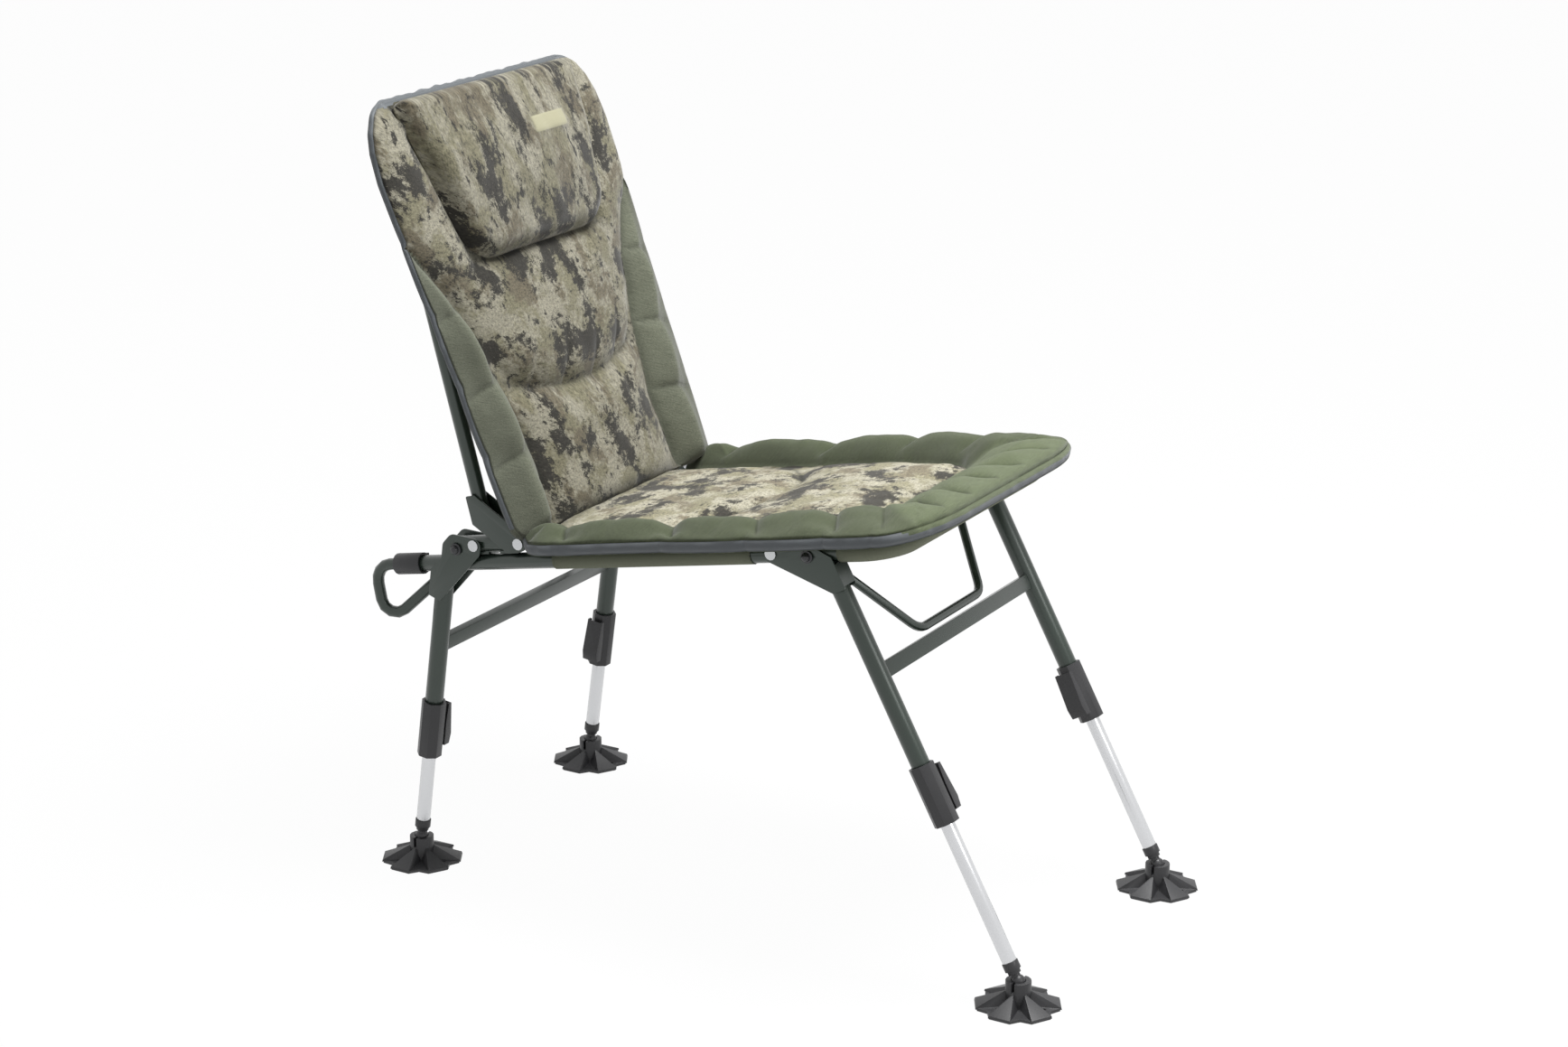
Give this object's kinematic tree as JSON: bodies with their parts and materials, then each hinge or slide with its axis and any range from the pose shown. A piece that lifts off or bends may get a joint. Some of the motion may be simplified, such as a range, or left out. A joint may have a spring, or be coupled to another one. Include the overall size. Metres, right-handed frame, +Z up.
{
  "type": "carp fishing chair",
  "caption": "Low folding fishing chair with a padded seat and back, head pillow, painted tube frame, telescopic legs with cam locks and swivelling mud feet.",
  "frame": {"origin": "on the ground, under the middle of the chair", "axes": "+Z up, the sitter faces -Y, +X to the sitter's left, across the chair"},
  "size_m": [0.532, 1.0336, 1.0551],
  "materials": {
    "frame_paint": "dark grey-green satin paint",
    "aluminium_tube": "brushed bare aluminium",
    "rivet_steel": "zinc plated steel",
    "black_plastic": "matt black moulded nylon",
    "gloss_button": "glossy black dome",
    "green_fabric": "woven olive-green polyester",
    "camo_fabric": "brushed fleece in a mottled beige, taupe and grey-brown pattern"
  },
  "bodies": {
    "seat": {"seat_frame": "frame_paint", "hinge_bar_right": "frame_paint", "hinge_bar_left": "frame_paint", "front_loop": "frame_paint", "rear_clamp_right": "black_plastic", "rear_clamp_left": "black_plastic", "seat_sling": "green_fabric", "seat_cushion": "green_fabric", "rear_leg_rivet_right": "rivet_steel", "rear_leg_rivet_left": "rivet_steel", "front_leg_rivet_right": "rivet_steel", "front_leg_rivet_left": "rivet_steel", "back_rivet_right": "rivet_steel", "back_rivet_left": "rivet_steel"},
    "backrest": {"back_frame": "frame_paint", "back_bracket_right": "frame_paint", "back_bracket_left": "frame_paint", "back_cushion": "camo_fabric", "head_pillow": "camo_fabric"},
    "rear_bar": {"rear_bar": "frame_paint"},
    "rear_legs": {"rear_crossbar": "frame_paint", "rear_leg_tube_right": "frame_paint", "rear_leg_bracket_right": "frame_paint", "rear_lock_sleeve_right": "black_plastic", "rear_leg_tube_left": "frame_paint", "rear_leg_bracket_left": "frame_paint", "rear_lock_sleeve_left": "black_plastic"},
    "rear_lock_button_right": {"rear_lock_button_right": "gloss_button"},
    "rear_lock_lever_right": {"rear_lock_lever_right": "black_plastic"},
    "rear_foot_leg_right": {"rear_inner_leg_right": "aluminium_tube", "rear_ferrule_right": "black_plastic"},
    "rear_ball_stem_right": {"rear_ball_stem_right": "black_plastic"},
    "rear_foot_pad_right": {"rear_foot_pad_right": "black_plastic"},
    "rear_lock_button_left": {"rear_lock_button_left": "gloss_button"},
    "rear_lock_lever_left": {"rear_lock_lever_left": "black_plastic"},
    "rear_foot_leg_left": {"rear_inner_leg_left": "aluminium_tube", "rear_ferrule_left": "black_plastic"},
    "rear_ball_stem_left": {"rear_ball_stem_left": "black_plastic"},
    "rear_foot_pad_left": {"rear_foot_pad_left": "black_plastic"},
    "front_legs": {"front_crossbar": "frame_paint", "front_leg_tube_right": "frame_paint", "front_leg_bracket_right": "frame_paint", "front_lock_sleeve_right": "black_plastic", "front_leg_tube_left": "frame_paint", "front_leg_bracket_left": "frame_paint", "front_lock_sleeve_left": "black_plastic"},
    "front_lock_button_right": {"front_lock_button_right": "gloss_button"},
    "front_lock_lever_right": {"front_lock_lever_right": "black_plastic"},
    "front_foot_leg_right": {"front_inner_leg_right": "aluminium_tube", "front_ferrule_right": "black_plastic"},
    "front_ball_stem_right": {"front_ball_stem_right": "black_plastic"},
    "front_foot_pad_right": {"front_foot_pad_right": "black_plastic"},
    "front_lock_button_left": {"front_lock_button_left": "gloss_button"},
    "front_lock_lever_left": {"front_lock_lever_left": "black_plastic"},
    "front_foot_leg_left": {"front_inner_leg_left": "aluminium_tube", "front_ferrule_left": "black_plastic"},
    "front_ball_stem_left": {"front_ball_stem_left": "black_plastic"},
    "front_foot_pad_left": {"front_foot_pad_left": "black_plastic"},
    "rear_clamp_lever_right": {"rear_clamp_lever_right": "black_plastic"},
    "rear_clamp_lever_left": {"rear_clamp_lever_left": "black_plastic"}
  },
  "joints": [
    {"name": "back_fold", "type": "hinge", "parent": "seat", "child": "backrest", "pos_m": [0, 0.27039, 0.48916], "axis": [1, 0, 0], "range_deg": [0, 30]},
    {"name": "rear_bar_slide", "type": "slide", "parent": "seat", "child": "rear_bar", "axis": [0, 0.9823, -0.1874], "range_m": [0, 0.06]},
    {"name": "rear_legs_fold", "type": "hinge", "parent": "seat", "child": "rear_legs", "pos_m": [0, 0.34082, 0.47573], "axis": [1, 0, 0], "range_deg": [-100, 0]},
    {"name": "rear_lock_button_pull_right", "type": "slide", "parent": "rear_legs", "child": "rear_lock_button_right", "axis": [-1, 0, 0], "range_m": [0, 0.005], "stiffness_N_per_m": 600},
    {"name": "rear_lock_lever_right", "type": "hinge", "parent": "rear_legs", "child": "rear_lock_lever_right", "pos_m": [-0.192, 0.43128, 0.1727], "axis": [0, 0.9907, 0.1357], "range_deg": [0, 80]},
    {"name": "rear_leg_length_right", "type": "slide", "parent": "rear_legs", "child": "rear_foot_leg_right", "axis": [0, -0.1357, 0.9907], "range_m": [-0.04, 0.09]},
    {"name": "rear_foot_swivel_right", "type": "hinge", "parent": "rear_foot_leg_right", "child": "rear_ball_stem_right", "pos_m": [-0.212, 0.45028, 0.034], "axis": [0, -0.1357, 0.9907], "continuous": true},
    {"name": "rear_foot_tilt_right", "type": "hinge", "parent": "rear_ball_stem_right", "child": "rear_foot_pad_right", "pos_m": [-0.212, 0.45028, 0.034], "axis": [1, 0, 0], "range_deg": [-30, 30]},
    {"name": "rear_lock_button_pull_left", "type": "slide", "parent": "rear_legs", "child": "rear_lock_button_left", "axis": [1, 0, 0], "range_m": [0, 0.005], "stiffness_N_per_m": 600},
    {"name": "rear_lock_lever_left", "type": "hinge", "parent": "rear_legs", "child": "rear_lock_lever_left", "pos_m": [0.192, 0.43128, 0.1727], "axis": [0, 0.9907, 0.1357], "range_deg": [-80, 0]},
    {"name": "rear_leg_length_left", "type": "slide", "parent": "rear_legs", "child": "rear_foot_leg_left", "axis": [0, -0.1357, 0.9907], "range_m": [-0.04, 0.09]},
    {"name": "rear_foot_swivel_left", "type": "hinge", "parent": "rear_foot_leg_left", "child": "rear_ball_stem_left", "pos_m": [0.212, 0.45028, 0.034], "axis": [0, -0.1357, 0.9907], "continuous": true},
    {"name": "rear_foot_tilt_left", "type": "hinge", "parent": "rear_ball_stem_left", "child": "rear_foot_pad_left", "pos_m": [0.212, 0.45028, 0.034], "axis": [1, 0, 0], "range_deg": [-30, 30]},
    {"name": "front_legs_fold", "type": "hinge", "parent": "seat", "child": "front_legs", "pos_m": [0, -0.1121, 0.54033], "axis": [1, 0, 0], "range_deg": [0, 80]},
    {"name": "front_lock_button_pull_right", "type": "slide", "parent": "front_legs", "child": "front_lock_button_right", "axis": [-1, 0, 0], "range_m": [0, 0.005], "stiffness_N_per_m": 600},
    {"name": "front_lock_lever_right", "type": "hinge", "parent": "front_legs", "child": "front_lock_lever_right", "pos_m": [-0.192, -0.35196, 0.23681], "axis": [0, 0.878, -0.4787], "range_deg": [0, 80]},
    {"name": "front_leg_length_right", "type": "slide", "parent": "front_legs", "child": "front_foot_leg_right", "axis": [0, 0.4787, 0.878], "range_m": [-0.06, 0.18]},
    {"name": "front_foot_swivel_right", "type": "hinge", "parent": "front_foot_leg_right", "child": "front_ball_stem_right", "pos_m": [-0.212, -0.46254, 0.034], "axis": [0, 0.4787, 0.878], "continuous": true},
    {"name": "front_foot_tilt_right", "type": "hinge", "parent": "front_ball_stem_right", "child": "front_foot_pad_right", "pos_m": [-0.212, -0.46254, 0.034], "axis": [1, 0, 0], "range_deg": [-40, 10]},
    {"name": "front_lock_button_pull_left", "type": "slide", "parent": "front_legs", "child": "front_lock_button_left", "axis": [1, 0, 0], "range_m": [0, 0.005], "stiffness_N_per_m": 600},
    {"name": "front_lock_lever_left", "type": "hinge", "parent": "front_legs", "child": "front_lock_lever_left", "pos_m": [0.192, -0.35196, 0.23681], "axis": [0, 0.878, -0.4787], "range_deg": [-80, 0]},
    {"name": "front_leg_length_left", "type": "slide", "parent": "front_legs", "child": "front_foot_leg_left", "axis": [0, 0.4787, 0.878], "range_m": [-0.06, 0.18]},
    {"name": "front_foot_swivel_left", "type": "hinge", "parent": "front_foot_leg_left", "child": "front_ball_stem_left", "pos_m": [0.212, -0.46254, 0.034], "axis": [0, 0.4787, 0.878], "continuous": true},
    {"name": "front_foot_tilt_left", "type": "hinge", "parent": "front_ball_stem_left", "child": "front_foot_pad_left", "pos_m": [0.212, -0.46254, 0.034], "axis": [1, 0, 0], "range_deg": [-40, 10]},
    {"name": "rear_clamp_lever_right", "type": "hinge", "parent": "seat", "child": "rear_clamp_lever_right", "pos_m": [-0.1935, 0.44555, 0.42969], "axis": [0, 0.1874, 0.9823], "range_deg": [-85, 0]},
    {"name": "rear_clamp_lever_left", "type": "hinge", "parent": "seat", "child": "rear_clamp_lever_left", "pos_m": [0.1935, 0.44555, 0.42969], "axis": [0, 0.1874, 0.9823], "range_deg": [0, 85]}
  ]
}
